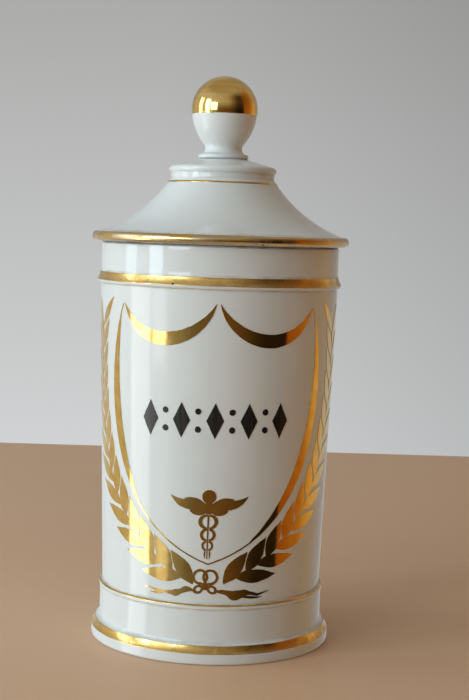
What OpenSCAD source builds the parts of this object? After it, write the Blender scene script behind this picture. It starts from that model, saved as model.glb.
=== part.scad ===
// Covered porcelain apothecary jar with gilt bands, a gilt shield and laurel wreath, and a ball-knobbed lid.
// Millimetres, +Z up, origin on the table under the jar's axis, the painted front facing -Y.

/* [Jar] */
// Height of the jar from the table to its mouth rim
jar_h = 175.8; // [165:0.1:220]
// Radius of the foot at its widest edge
foot_r = 53.2; // [45:0.1:62]
// Height of the foot's widest edge
foot_edge_h = 4.6; // [3:0.1:6]
// Height of the gilt slope on top of the foot
foot_slope_h = 3.4; // [2:0.1:5]
// How far the gilt slope leans in
foot_slope_in = 1.9; // [1:0.1:2.4]
// Rounding of the foot where it meets the table
foot_round = 1.2; // [0.4:0.1:2]
// How far the plain drum stands back from the foot's edge
drum_in = 3.5; // [3:0.1:4.2]
// Height of the middle of the bead round the bottom of the wall
bead_z = 23.8; // [20:0.1:26]
// Radius of the bead's section
bead_section_r = 1.3; // [0.9:0.1:1.6]
// How far the middle of the bead's section stands out from the wall
bead_out = 0.1; // [0:0.05:0.3]
// How far the wall stands back from the drum
wall_in = 0.9; // [0.2:0.1:1.2]
// How much wider the wall is under the shoulder than above the bead
wall_flare = 3.8; // [2:0.1:5]
// Height of the neck, from the shoulder's widest edge to the mouth rim
neck_h = 17; // [12:0.1:20]
// How far the shoulder stands out from the wall
shoulder_out = 1.4; // [0.8:0.1:2]
// Height of the gilt slope on top of the shoulder
shoulder_slope_h = 3.8; // [2:0.1:6]
// Rounding of the mouth rim's outer edge
mouth_round = 1.2; // [0.4:0.1:2]
// Thickness of the jar's wall
wall_t = 5; // [3.5:0.1:7]
// Thickness of the jar's floor
floor_t = 6; // [4:0.1:10]
// Rounding of the inner corner between floor and wall
floor_round = 6; // [2:0.1:12]
// Width of the ring that the jar stands on
foot_ring_w = 7; // [4:0.1:10]
// Depth of the hollow under the floor
foot_hollow = 3; // [1.5:0.1:5]

/* [Lid] */
// How far the lid's rim stands out past the shoulder
rim_out = 2.7; // [1:0.1:5]
// Thickness of the lid's rim
rim_t = 4.2; // [3:0.1:6]
// Height from the lid's seat to the top of its hollow slope
slope_h = 28.4; // [22:0.1:36]
// Radius of the hollow curve of the slope, seen in section
slope_curve_r = 62; // [50:0.5:90]
// Radius of the waist under the collar
waist_r = 22.9; // [18:0.1:28]
// Height of the waist
waist_h = 3.9; // [3:0.1:6]
// Radius of the collar's rounded edge, seen in section
collar_edge_r = 1.7; // [1:0.1:2.2]
// How far the collar stands out from the waist
collar_out = 0.9; // [0.5:0.1:1.2]
// Slope of the collar's low conical top, in degrees
collar_slope = 16; // [8:0.5:24]
// Thickness of the lid's wall
lid_t = 4.5; // [3:0.1:6]
// Depth of the ring that centres the lid in the mouth
flange_h = 11; // [6:0.1:18]
// Thickness of that ring
flange_t = 3.4; // [2.5:0.1:5]
// Play all round between that ring and the mouth
flange_play = 1.1; // [0.5:0.1:2]

/* [Knob] */
// Radius of the knob's ball
ball_r = 14.45; // [11:0.05:18]
// Height from the knob's seat to the middle of the ball
ball_h = 21.8; // [21:0.1:24]
// Radius of the curve that the ball draws in with below its middle, seen in section
cup_r = 24; // [18:0.5:30]
// Radius of the knob at its neck
knob_neck_r = 8.2; // [6:0.1:9]
// Radius of the hollow curve at the neck, seen in section
knob_hollow_r = 2.6; // [2:0.1:3.2]
// Radius of the knob's foot
knob_foot_r = 11.2; // [10.8:0.1:14]

/* [Gilding and enamel] */
// Thickness of the gilding and of the enamel
film_t = 0.15; // [0.1:0.01:0.4]
// Space left between a film and the glaze under it
film_gap = 0.16; // [0.02:0.01:0.2]
// Angle round the bead at which the thin gilt line lies, up from level
bead_line_turn = 45; // [30:1:60]
// Width of the thin gilt line on the bead
bead_line_w = 0.8; // [0.4:0.1:1]
// Angle round the lid's rim at which its gilding starts, down from level
rim_gilt_below = 50; // [20:1:70]
// Angle round the lid's rim at which its gilding ends, up from level
rim_gilt_above = 68; // [30:1:85]
// Width of the thin gilt line under the lid's collar
collar_line_w = 0.8; // [0.4:0.1:1.5]
// Distance of that line below the waist
collar_line_drop = 1.3; // [0.5:0.1:3]
// Height of the lower edge of the knob's gilding below the middle of the ball
knob_gilt_drop = 2.5; // [-2:0.1:5]

/* [Shield] */
// Space between the shoulder and the shield's top corners
shield_top_gap = 7.7; // [6:0.1:15]
// Angle from the front to each top corner
shield_top_turn = 50.5; // [40:0.5:56]
// How much higher the point between the two swags is
shield_mid_rise = 1.5; // [0:0.1:3]
// Space between the bow and the tip at the bottom
shield_tip_gap = 1.9; // [1:0.1:4]
// How far each side bows out
side_bow = 23.1; // [15:0.1:26]
// Width of each side's stroke at its widest
side_stroke_w = 4.8; // [3:0.1:7]
// Share of each side's length that stays a hairline below the corner
side_lead_share = 0.03; // [0.02:0.01:0.1]
// Share of the left side's length that stays a hairline above the tip
left_thin_share = 0.28; // [0.08:0.01:0.4]
// Share of the right side's length that stays a hairline above the tip
right_thin_share = 0.12; // [0.08:0.01:0.4]
// Drop of each swag
swag_drop = 16.8; // [10:0.1:20]
// Width of each swag at its widest
swag_w = 5.7; // [3:0.1:8]
// Width of the strokes where they run out
hairline_w = 0.55; // [0.3:0.05:1]

/* [Wreath] */
// Distance round the wall from the bow's middle to a branch's foot
branch_foot_out = 8.8; // [8.4:0.1:11]
// Height of a branch's foot above the knot
branch_foot_up = 1.2; // [0.8:0.1:2]
// Distance round the wall from a top corner of the shield to the end of the branch
branch_top_out = 19.6; // [18.5:0.1:22]
// Drop from a top corner of the shield to the end of the branch
branch_top_drop = 11; // [10:0.1:16]
// How far each branch bows out
branch_bow = 18.2; // [17:0.1:21]
// Pairs of leaves on a branch
branch_steps = 14; // [11:1:15]
// Angle between a leaf on the shield's side and its branch
inner_splay = 38; // [34:1:42]
// Angle between a leaf on the far side and its branch
outer_splay = 25; // [20:1:28]
// Length of a leaf on the shield's side
inner_leaf = 17; // [14:0.1:18]
// Length of a leaf on the far side
outer_leaf = 18.8; // [14:0.1:20]
// Length of the leaf at the top
top_leaf = 18.5; // [15:0.1:20]
// Width of a leaf
leaf_w = 6; // [5:0.1:6.4]
// Space between a leaf and the one behind it, or the shield's stroke
leaf_gap = 0.4; // [0.3:0.05:0.6]
// Width of the stem
stem_w = 2; // [1:0.1:2.4]

/* [Ribbon] */
// Turn of the bow from the front, as it was painted by eye
bow_turn = -2.6; // [-4:0.1:4]
// Height of the bow's knot above the bead
knot_up = 7.5; // [7.2:0.1:10]
// Length of each upper loop from the knot
bow_loop = 4.7; // [4:0.1:5.4]
// Radius of each upper loop
bow_loop_r = 3.4; // [2.8:0.1:3.5]
// Lean of each upper loop from upright
bow_lean = 27; // [24:1:32]
// Width of the ribbon in the loops
ribbon_w = 1.1; // [0.8:0.1:1.2]
// Width of each small lower loop
small_loop_w = 5.2; // [4.6:0.1:5.4]
// Height of each small lower loop
small_loop_h = 3.7; // [3.2:0.1:4]
// Length of the ribbon's fold
fold_l = 6.4; // [5:0.1:7]
// Width of the ribbon's fold
fold_w = 4.4; // [3:0.1:4.6]
// Length of each ribbon's tail past the fold
tail_l = 10; // [8:0.5:12]
// Width of a ribbon's tail
tail_w = 1.4; // [0.8:0.1:1.6]

/* [Staff emblem] */
// Turn of the emblem from the front, as it was painted by eye
emblem_turn = -1.6; // [-6:0.1:6]
// Space between the shield's tip and the emblem
emblem_gap = 2.4; // [1.5:0.1:4]
// Radius of the head
head_r = 2.95; // [2:0.05:3.5]
// Reach of each wing from the middle
wing_reach = 16.4; // [14:0.1:18]
// Distance of the wings' middle below the middle of the head
wing_drop = 4.9; // [4:0.1:6]
// Depth of a long feather below the line from its root to its tip
wing_deep = 4.1; // [3:0.1:5]
// Rise of a wing's shoulder above that line
wing_rise = 1.5; // [0.8:0.1:2]
// Dip of a wing's top edge towards its tip, below that line
wing_dip = 0.6; // [0.3:0.1:1]
// Height of a wing's tip above the middle of the head
wing_tip_up = 0.4; // [0:0.1:2]
// Length of a short feather
feather_l = 8.2; // [6:0.1:9]
// Angle at which a short feather hangs below level
feather_turn = 8; // [4:1:14]
// Drop of a short feather
feather_drop = 2.6; // [1.5:0.1:2.8]
// Width of the staff
staff_w = 0.85; // [0.6:0.05:1.2]
// Length of the staff below the wings
staff_l = 19; // [17.5:0.1:21]
// Width of the top coil of the serpents
coil_top_w = 8.3; // [7:0.1:9]
// Width of the bottom coil of the serpents
coil_low_w = 5; // [4.8:0.1:6]
// Width of a serpent in the top coil
serpent_w = 1.6; // [1:0.1:1.8]
// Height of the top coil of the serpents
coil_top_h = 6; // [5:0.1:6.5]
// Height of the bottom coil of the serpents
coil_low_h = 4.2; // [3.6:0.1:4.4]
// Space between the staff and what stands beside it
staff_gap = 0.1; // [0.1:0.05:0.3]

/* [Label frieze] */
// Distance of the frieze's middle below the shield's top corners
frieze_drop = 46.7; // [35:0.1:55]
// Lozenges in the row
lozenge_n = 5; // [3:2:7]
// Height of a lozenge
lozenge_h = 15; // [8:0.5:18]
// Width of a lozenge
lozenge_w = 7.4; // [4:0.1:8]
// Angle round the jar from one lozenge to the next
lozenge_turn = 16; // [14:0.5:17]
// Radius of the dots between the lozenges
dot_r = 1.3; // [0.8:0.1:1.8]

/* [Hidden] */
$fn = 180;
porcelain = "#e8ebec";
gilding = "#c8973a";
enamel = "#1d1a18";
// Cuts run this far past the solids that they cut
past = 1;
film_in = film_gap;
film_out = film_gap + film_t;
// Cones and slopes run this share of the way out to a round that they cut into
cut_in = 0.98;
// Two rounds that touch overlap by this share of the smaller one
kiss = 0.005;
// Jar
foot_top_z = foot_edge_h + foot_slope_h;
foot_top_r = foot_r - foot_slope_in;
drum_r = foot_r - drum_in;
foot_cove_r = foot_top_r - drum_r;
wall_low_r = drum_r - wall_in;
wall_high_r = wall_low_r + wall_flare;
bead_mid_r = wall_low_r + bead_out;
wall_low_z = bead_z + bead_section_r;
shoulder_z = jar_h - neck_h;
shoulder_r = wall_high_r + shoulder_out;
shoulder_low_z = shoulder_z - shoulder_out;
neck_r = wall_high_r;
neck_z = shoulder_z + shoulder_slope_h;
floor_z = foot_hollow + floor_t;
mouth_r = neck_r - wall_t;
floor_r = wall_low_r - wall_t;
foot_hollow_r = foot_r - foot_round - foot_ring_w;
wall_turn = (wall_high_r - wall_low_r) / (shoulder_low_z - wall_low_z);
// Lid
rim_r = shoulder_r + rim_out;
rim_edge_r = rim_t / 2;
rim_mid_r = rim_r - rim_edge_r;
rim_mid_z = jar_h + rim_edge_r;
slope_low = [rim_mid_r, jar_h + rim_t];
slope_high = [waist_r, jar_h + slope_h];
slope_mid = arc_centre(slope_low, slope_high, slope_curve_r);
waist_top_z = slope_high.y + waist_h;
collar_edge = [waist_r + collar_out - collar_edge_r, waist_top_z];
collar_top = collar_edge + cut_in * collar_edge_r * [sin(collar_slope), cos(collar_slope)];
seat_z = collar_top.y + (collar_top.x - knob_foot_r) * tan(collar_slope);
flange_r = mouth_r - flange_play;
flange_in_r = flange_r - flange_t;
// The lid's hollow stops this far below the top of its slope
hollow_drop = 0.5;
hollow_top_z = slope_high.y - hollow_drop;
collar_line_z = slope_high.y - collar_line_drop;
// Knob: the hollow at its neck touches the curve that the ball draws in with
ball_z = seat_z + ball_h;
cup_mid_r = ball_r - cup_r;
neck_curve_r = knob_neck_r + knob_hollow_r;
neck_far = cup_r + (1 - kiss) * knob_hollow_r;
neck_curve_z = ball_z - sqrt(pow(neck_far, 2) - pow(neck_curve_r - cup_mid_r, 2));
neck_join = [neck_curve_r, neck_curve_z]
    - cut_in * knob_hollow_r * [neck_curve_r - cup_mid_r, neck_curve_z - ball_z] / neck_far;
knob_foot_t = neck_curve_z - knob_hollow_r - seat_z;
// Ribbon
knot_z = wall_low_z + knot_up;
bow_h = bow_loop * cos(bow_lean) + bow_loop_r;
bow_x = wall_r(knot_z) * sin(bow_turn);
// Shield: each side is drawn on a plane that faces out at this angle, each swag on its own
side_turn = 40;
swag_turn = shield_top_turn / 2;
shield_top_z = shoulder_low_z - shield_top_gap;
shield_mid_z = shield_top_z + shield_mid_rise;
shield_tip_z = knot_z + bow_h + shield_tip_gap;
side_tip = [-wall_r(shield_tip_z) * sin(side_turn), shield_tip_z];
side_top = [wall_r(shield_top_z) * sin(shield_top_turn - side_turn), shield_top_z];
side_len = norm(side_tip - side_top);
swag_in = [-wall_r(shield_mid_z) * sin(swag_turn), shield_mid_z];
swag_out = [wall_r(shield_top_z) * sin(swag_turn), shield_top_z];
// A swag stops this far from the corner where it meets a side
corner_gap = 1.2;
// Wreath
branch_top = [wall_r(shield_top_z) * shield_top_turn * PI / 180 + branch_top_out, shield_top_z - branch_top_drop];
// Emblem
staff_low_z = shield_tip_z + emblem_gap;
staff_top_z = staff_low_z + staff_l;
wing_z = staff_top_z + staff_gap + feather_drop;
head_z = wing_z + wing_drop;
coil_n = 3;
// A coil runs this far into the next one
coil_lap = 0.2;
serpent_tail = staff_l - coil_n * (coil_top_h + coil_low_h) / 2;
// Frieze
frieze_z = shield_top_z - frieze_drop;

// Radius of the jar's wall at a height
function wall_r(z) = wall_low_r + (z - wall_low_z) * wall_turn;
// Radius of an arc from its chord and its rise
function arc_r(chord, rise) = (chord * chord / 4 + rise * rise) / (2 * abs(rise));
// Middle of an arc through two points, on the right of the way from b to a
function arc_centre(a, b, r) = let (d = a - b, far = sqrt(r * r - d * d / 4))
    (a + b) / 2 + far * [-d.y, d.x] / norm(d);
// Rise of an arc from its chord and its radius
function arc_rise(chord, r) = r - sqrt(r * r - chord * chord / 4);
// Point of an arc over X at a share of its chord, drawn in by a distance
function arc_at(chord, rise, share, inward) = let (r = arc_r(chord, rise), x = chord * (share - 0.5))
    [chord / 2 + x, rise - r + sqrt(pow(r - inward, 2) - x * x)];
// Radius of the lid's slope at a height
function slope_r(z) = slope_mid.x - sqrt(pow(slope_curve_r, 2) - pow(z - slope_mid.y, 2));
// Foot of a branch, as a distance round the wall and a height: side is 1 on the right and -1 on the left
function branch_foot(side) = [branch_foot_out + side * bow_x, knot_z + branch_foot_up];
// Direction of a branch at a share of its length
function branch_way(side, share) = let (d = branch_top - branch_foot(side), r = arc_r(norm(d), branch_bow))
    atan2(d.y, d.x) + asin(norm(d) / 2 / r) * (2 * share - 1);
// Point of a branch at a share of its length
function branch_at(side, share) = let (
        d = branch_top - branch_foot(side),
        r = arc_r(norm(d), branch_bow),
        way = branch_way(side, share)
    )
    (branch_foot(side) + branch_top) / 2 + (r - branch_bow) * [-d.y, d.x] / norm(d) + r * [sin(way), -cos(way)];

// Distance from one step of a branch to the next
function branch_step_l(side) = norm(branch_at(side, 1 / branch_steps) - branch_at(side, 0));

// Disc whose edge passes through both ends of a chord on X and rises beside it, or stands off that edge
module arc_disc(chord, rise, off = 0) {
    translate([chord / 2, rise - sign(rise) * arc_r(chord, rise)])
        circle(arc_r(chord, rise) + off);
}

// Leaf with two pointed ends along X, or the space that it takes with a gap all round
module lens(len, above, below, gap = 0) {
    intersection() {
        arc_disc(len, above, gap);
        arc_disc(len, -below, gap);
    }
}

// Brush stroke along an arc over X: widest in the middle, running out to thin square ends
module brush(len, rise, width, thin) {
    intersection() {
        difference() {
            arc_disc(len, rise);
            translate([0, -thin])
                arc_disc(len, rise - width + thin);
        }
        translate([0, -thin])
            square([len, rise + thin + past]);
    }
}

// Places a shape at one point, with its X along the way to another
module along(from, to) {
    translate(from)
        rotate(atan2(to.y - from.y, to.x - from.x))
            children();
}

// Wedge with its point at the origin, between two angles less than half a turn apart
module wedge(from, to, reach) {
    polygon([
        [0, 0],
        2 * reach * [cos(from), sin(from)],
        3 * reach * [cos((from + to) / 2), sin((from + to) / 2)],
        2 * reach * [cos(to), sin(to)]
    ]);
}

// Film on a round edge, seen in section
module edge_film(edge_r, from, to) {
    intersection() {
        difference() {
            circle(edge_r + film_out);
            circle(edge_r + film_in);
        }
        wedge(from, to, edge_r);
    }
}

// Film on a straight slope from one point to another, seen in section, on the right of the way
module slope_film(from, to) {
    along(from, to)
        translate([0, -film_out])
            square([norm(to - from), film_t]);
}

// Cone that follows the wall at a distance
module wall_cone(out, low, high) {
    translate([0, 0, low])
        cylinder(h = high - low, r1 = wall_r(low) + out, r2 = wall_r(high) + out);
}

// Film on the wall, in the shape of its children
module on_wall() {
    intersection() {
        difference() {
            wall_cone(film_out, wall_low_z, shoulder_low_z);
            wall_cone(film_in, wall_low_z - past, shoulder_low_z + past);
        }
        children();
    }
}

// Stencil drawn on a plane that faces out from the jar, X to the right and Y up
module stencil(turn) {
    rotate([90, 0, turn])
        translate([0, 0, wall_low_r / 2])
            linear_extrude(wall_high_r)
                children();
}

// Pair of leaves at a step of a branch, seen from a point of the unrolled wall
module leaf_pair(side, step, from, gap = 0) {
    translate(branch_at(side, step / branch_steps) - from)
        rotate(branch_way(side, step / branch_steps)) {
            rotate(inner_splay)
                lens(inner_leaf, leaf_w / 2, leaf_w / 2, gap);
            rotate(-outer_splay)
                translate([-leaf_gap, 0])
                    lens(outer_leaf, leaf_w / 2, leaf_w / 2, gap);
        }
}

// What grows at a step of a branch, behind the pair of leaves below it
module spray(side, step) {
    at = branch_at(side, step / branch_steps);
    stencil(at.x / wall_r(at.y) * 180 / PI)
        translate([0, at.y]) {
            difference() {
                children();
                if (step > 0)
                    leaf_pair(side, step - 1, at, leaf_gap);
            }
            if (step < branch_steps)
                rotate(branch_way(side, (step + 0.5) / branch_steps))
                    translate([-stem_w / 2, 0])
                        lens(branch_step_l(side) + stem_w, stem_w / 2, stem_w / 2);
        }
}

// Laurel branch
module branch(side) {
    for (step = [0 : branch_steps - 1])
        spray(side, step)
            leaf_pair(side, step, branch_at(side, step / branch_steps));
    spray(side, branch_steps)
        rotate(branch_way(side, 1) + inner_splay)
            lens(top_leaf, leaf_w / 2, leaf_w / 2);
}

// Outline of the jar's outside, seen in section
module jar_section() {
    difference() {
        polygon([
            [0, 0],
            [foot_r - foot_round, 0],
            [foot_r, foot_round],
            [foot_r, foot_edge_h],
            [foot_top_r, foot_top_z],
            [foot_top_r, foot_top_z + foot_cove_r],
            [drum_r, foot_top_z + foot_cove_r],
            [drum_r, bead_z],
            [wall_low_r, wall_low_z],
            [wall_high_r, shoulder_low_z],
            [shoulder_r, shoulder_z],
            [neck_r, neck_z],
            [neck_r, jar_h - mouth_round],
            [neck_r - mouth_round, jar_h],
            [0, jar_h]
        ]);
        translate([foot_top_r, foot_top_z + foot_cove_r])
            circle(foot_cove_r);
    }
    translate([foot_r - foot_round, foot_round])
        circle(foot_round);
    translate([bead_mid_r, bead_z])
        circle(bead_section_r);
    intersection() {
        translate([wall_high_r, shoulder_z])
            circle(shoulder_out);
        translate([wall_high_r - shoulder_out, shoulder_low_z - past])
            square([2 * shoulder_out, shoulder_out + past]);
    }
    translate([neck_r - mouth_round, jar_h - mouth_round])
        circle(mouth_round);
}

// Hollow of the jar, seen in section
module cavity_section() {
    polygon([
        [0, floor_z],
        [floor_r - floor_round, floor_z],
        [floor_r, floor_z + floor_round],
        [mouth_r, jar_h - mouth_round],
        [mouth_r, jar_h + past],
        [0, jar_h + past]
    ]);
    translate([floor_r - floor_round, floor_z + floor_round])
        circle(floor_round);
}

module jar_body() {
    color(porcelain)
        difference() {
            rotate_extrude()
                difference() {
                    jar_section();
                    cavity_section();
                }
            translate([0, 0, -past])
                cylinder(h = foot_hollow + past, r = foot_hollow_r);
        }
}

module foot_gilt_band() {
    color(gilding)
        rotate_extrude()
            slope_film([foot_r, foot_edge_h], [foot_top_r, foot_top_z]);
}

module base_gilt_line() {
    color(gilding)
        rotate_extrude()
            translate([bead_mid_r, bead_z])
                rotate(bead_line_turn)
                    translate([bead_section_r + film_in, -bead_line_w / 2])
                        square([film_t, bead_line_w]);
}

module shoulder_gilt_band() {
    color(gilding)
        rotate_extrude()
            slope_film([shoulder_r, shoulder_z], [neck_r, neck_z]);
}

// Stroke of a side: it swells below the corner and is a hairline down to the tip
module side_shape(thin_share) {
    from = arc_at(side_len, side_bow, side_lead_share, hairline_w);
    to = arc_at(side_len, side_bow, 1 - thin_share, hairline_w);
    swell = norm(to - from);
    inner_rise = arc_rise(swell, arc_r(side_len, side_bow) - hairline_w) - side_stroke_w + hairline_w;
    intersection() {
        difference() {
            arc_disc(side_len, side_bow);
            intersection() {
                arc_disc(side_len, side_bow, -hairline_w);
                along(from, to)
                    arc_disc(swell, inner_rise);
            }
        }
        translate([0, -past])
            square([side_len + past, side_bow + 2 * past]);
    }
}

// Right half of the shield's sides, which meets the left half under the front
module shield_side(thin_share) {
    on_wall()
        intersection() {
            stencil(side_turn)
                along(side_top, side_tip)
                    side_shape(thin_share);
            translate([0, -2 * wall_high_r, 0])
                cube([2 * wall_high_r, 2 * wall_high_r, jar_h]);
        }
}

module shield_sides() {
    color(gilding) {
        shield_side(right_thin_share);
        mirror([1, 0, 0])
            shield_side(left_thin_share);
    }
}

// Right swag, which stops short of the corner
module shield_swag() {
    way = (swag_out - swag_in) / norm(swag_out - swag_in);
    from = swag_in + corner_gap / 2 * way;
    to = swag_out - corner_gap * way;
    on_wall()
        stencil(swag_turn)
            along(to, from)
                brush(norm(to - from), swag_drop, swag_w, hairline_w);
}

module shield_swags() {
    color(gilding) {
        shield_swag();
        mirror([1, 0, 0])
            shield_swag();
    }
}

// Branch on the wall, whose leaves stop beside the stroke of the shield's right side
module wreath(side) {
    on_wall()
        difference() {
            branch(side);
            stencil(side_turn)
                along(side_top, side_tip)
                    arc_disc(side_len, side_bow, leaf_gap);
        }
}

module wreath_left() {
    color(gilding)
        mirror([1, 0, 0])
            wreath(-1);
}

module wreath_right() {
    color(gilding)
        wreath(1);
}

// Loop that leaves the knot at the origin along X and comes back to it
module drop_shape(len, r) {
    translate([len, 0])
        circle(r);
    polygon([[0, 0], [len, -cut_in * r], [len, cut_in * r]]);
}

module bow_loop_shape() {
    difference() {
        drop_shape(bow_loop, bow_loop_r);
        translate([1.5 * ribbon_w, 0])
            drop_shape(bow_loop - 1.5 * ribbon_w, bow_loop_r - ribbon_w);
    }
}

// Small loop that leaves the knot at the origin along X
module small_loop_shape() {
    rise = small_loop_h / 2;
    difference() {
        lens(small_loop_w, rise, rise);
        translate([1.3 * ribbon_w, 0])
            lens(small_loop_w - 2.6 * ribbon_w, rise - 0.9 * ribbon_w, rise - 0.9 * ribbon_w);
    }
}

// Oval of two discs side by side, always wider than it is high
module twin_disc(w, h) {
    d = min(0.9 * w, h);
    for (side = [-1, 1])
        translate([side * (w - d) / 2, 0])
            circle(d / 2);
}

// Coil of two serpents: wide at its sides and thin where they cross
module coil_shape(w, h, line) {
    difference() {
        twin_disc(w, h);
        twin_disc(w - 2 * line, h - line);
    }
}

module ribbon_bow() {
    color(gilding)
        on_wall()
            stencil(bow_turn)
                translate([0, knot_z]) {
                    for (side = [-1, 1]) {
                        rotate(90 - side * bow_lean)
                            bow_loop_shape();
                        translate([side * ribbon_w / 2, 0])
                            rotate(90 - side * (90 + bow_lean))
                                small_loop_shape();
                    }
                    circle(1.3 * ribbon_w);
                }
}

// Ribbon on the right of the bow: a twist, a fold, two tails and a curl, all below the lowest leaf
module tail_shape() {
    top = branch_foot_up - leaf_w / 2;
    twist = [small_loop_w, top - tail_w];
    fold = [twist.x + fold_l / 3, top - fold_w / 2];
    out = fold + [0.8 * fold_l, 0];
    bend = out + [0.6 * tail_l, 0.15 * fold_w];
    end = out + [tail_l, -0.05 * fold_w];
    along(twist, fold + [fold_l / 2, 0])
        lens(norm(fold + [fold_l / 2, 0] - twist), tail_w / 2, tail_w / 2);
    translate(fold)
        lens(fold_l, fold_w / 2, fold_w / 2);
    along(out + [-fold_l / 4, fold_w / 8], bend)
        lens(norm(bend - out - [-fold_l / 4, fold_w / 8]), 0.7 * tail_w, 0.4 * tail_w);
    along(out - [fold_l / 4, fold_w / 6], out + [0.85 * tail_l, -0.3 * fold_w])
        lens(0.85 * tail_l + fold_l / 4, 0.4 * tail_w, 0.6 * tail_w);
    along(bend - [tail_w, 0], end)
        lens(norm(end - bend + [tail_w, 0]), 0.7 * ribbon_w, 0.3 * ribbon_w);
}

module ribbon_tails() {
    color(gilding)
        on_wall()
            stencil(bow_turn)
                translate([0, knot_z])
                    for (side = [0, 1])
                        mirror([side, 0])
                            tail_shape();
}

// Right wing of the emblem: a long feather over a short one
module wing_shape() {
    root = [head_r / 2, wing_drop / 3];
    tip = [wing_reach, wing_drop + wing_tip_up];
    len = norm(tip - root);
    along(root, tip) {
        difference() {
            lens(len, wing_rise / 2, wing_deep);
            translate([0.45 * len, wing_rise / 8])
                arc_disc(0.6 * len, -wing_dip - wing_rise / 8);
        }
        translate([-wing_rise / 8, 0])
            lens(0.62 * len, wing_rise, wing_rise);
    }
    rotate(-feather_turn)
        lens(feather_l, feather_drop / 2, feather_drop);
}

module caduceus_wings() {
    color(gilding)
        on_wall()
            stencil(emblem_turn)
                translate([0, wing_z]) {
                    translate([0, head_z - wing_z])
                        circle(head_r);
                    circle(feather_drop);
                    for (side = [0, 1])
                        mirror([side, 0])
                            wing_shape();
                }
}

module staff_shape() {
    polygon([
        [-staff_w / 2, staff_top_z],
        [staff_w / 2, staff_top_z],
        [staff_w / 4, staff_top_z - staff_l],
        [-staff_w / 4, staff_top_z - staff_l]
    ]);
}

module caduceus_staff() {
    color(gilding)
        on_wall()
            stencil(emblem_turn)
                staff_shape();
}

// Three coils that grow smaller downwards, and two tails
module serpents_shape() {
    for (i = [0 : coil_n - 1]) {
        share = i / (coil_n - 1);
        w = coil_top_w + (coil_low_w - coil_top_w) * share;
        h = coil_top_h + (coil_low_h - coil_top_h) * share;
        above = i * (coil_top_h + h + (coil_top_h - coil_low_h) / (coil_n - 1)) / 2;
        translate([0, staff_top_z - staff_gap - above - h / 2])
            coil_shape(w, h + 2 * coil_lap, serpent_w * (1 - 0.4 * share));
    }
    for (side = [0, 1])
        mirror([side, 0])
            along([staff_w, staff_low_z + serpent_tail + serpent_w / 2], [staff_w, staff_low_z])
                lens(serpent_tail + serpent_w / 2, serpent_w / 3, staff_gap);
}

module caduceus_serpents() {
    color(gilding)
        on_wall()
            stencil(emblem_turn)
                difference() {
                    serpents_shape();
                    translate([-staff_w / 2 - staff_gap, 0])
                        square([staff_w + 2 * staff_gap, jar_h]);
                }
}

module lozenge() {
    polygon([[-lozenge_w / 2, 0], [0, -lozenge_h / 2], [lozenge_w / 2, 0], [0, lozenge_h / 2]]);
}

module label_frieze() {
    last = (lozenge_n - 1) / 2;
    color(enamel)
        on_wall() {
            for (i = [-last : last])
                stencil(i * lozenge_turn)
                    translate([0, frieze_z])
                        lozenge();
            for (i = [-last : last - 1])
                stencil((i + 0.5) * lozenge_turn)
                    for (side = [-1, 1])
                        translate([0, frieze_z + side * lozenge_h / 4])
                            circle(dot_r);
        }
}

// Outline of the lid's outside, seen in section
module lid_section() {
    difference() {
        polygon([
            [0, jar_h],
            [rim_mid_r, jar_h],
            slope_low,
            [rim_mid_r, slope_high.y],
            slope_high,
            [waist_r, waist_top_z],
            collar_edge,
            collar_top,
            [knob_foot_r, seat_z],
            [0, seat_z]
        ]);
        translate(slope_mid)
            circle(slope_curve_r);
    }
    translate([rim_mid_r, rim_mid_z])
        circle(rim_edge_r);
    translate(collar_edge)
        circle(collar_edge_r);
    translate([0, jar_h - flange_h])
        square([flange_r, flange_h + past]);
}

// Hollow of the lid, seen in section
module lid_hollow_section() {
    difference() {
        translate([0, jar_h - flange_h - past])
            square([flange_in_r, hollow_top_z - jar_h + flange_h + past]);
        translate(slope_mid)
            circle(slope_curve_r + lid_t);
    }
}

module lid_shell() {
    color(porcelain)
        rotate_extrude()
            difference() {
                lid_section();
                lid_hollow_section();
            }
}

module lid_rim_gilt_band() {
    color(gilding)
        rotate_extrude()
            translate([rim_mid_r, rim_mid_z])
                edge_film(rim_edge_r, -rim_gilt_below, rim_gilt_above);
}

module collar_gilt_line() {
    color(gilding)
        rotate_extrude()
            slope_film(
                [slope_r(collar_line_z - collar_line_w), collar_line_z - collar_line_w],
                [slope_r(collar_line_z), collar_line_z]
            );
}

// What lies outside the axis, from one height to another, seen in section
module storey(from, to) {
    translate([0, from])
        square([rim_r, to - from]);
}

// Half ball over the curve that it draws in with, seen in section, or the space that these take with a gap all round
module ball_section(gap = 0) {
    intersection() {
        translate([0, ball_z])
            circle(ball_r + gap);
        storey(ball_z - ball_r / 4, ball_z + 2 * ball_r);
    }
    intersection() {
        translate([cup_mid_r, ball_z])
            circle(cup_r + gap);
        storey(neck_curve_z, ball_z);
    }
}

// Outline of the knob, seen in section
module knob_section() {
    difference() {
        union() {
            ball_section();
            polygon([
                [0, seat_z],
                [neck_curve_r, seat_z],
                [neck_curve_r, neck_curve_z],
                neck_join,
                [0, neck_join.y]
            ]);
        }
        translate([neck_curve_r, neck_curve_z])
            circle(knob_hollow_r);
    }
    translate([0, seat_z])
        square([knob_foot_r - knob_foot_t / 2, knob_foot_t]);
    translate([knob_foot_r - knob_foot_t / 2, seat_z + knob_foot_t / 2])
        circle(knob_foot_t / 2);
}

module lid_knob() {
    color(porcelain)
        rotate_extrude()
            knob_section();
}

module knob_gilt_cap() {
    color(gilding)
        rotate_extrude()
            intersection() {
                difference() {
                    ball_section(film_out);
                    ball_section(film_in);
                }
                storey(ball_z - knob_gilt_drop, ball_z + 2 * ball_r);
            }
}

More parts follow.
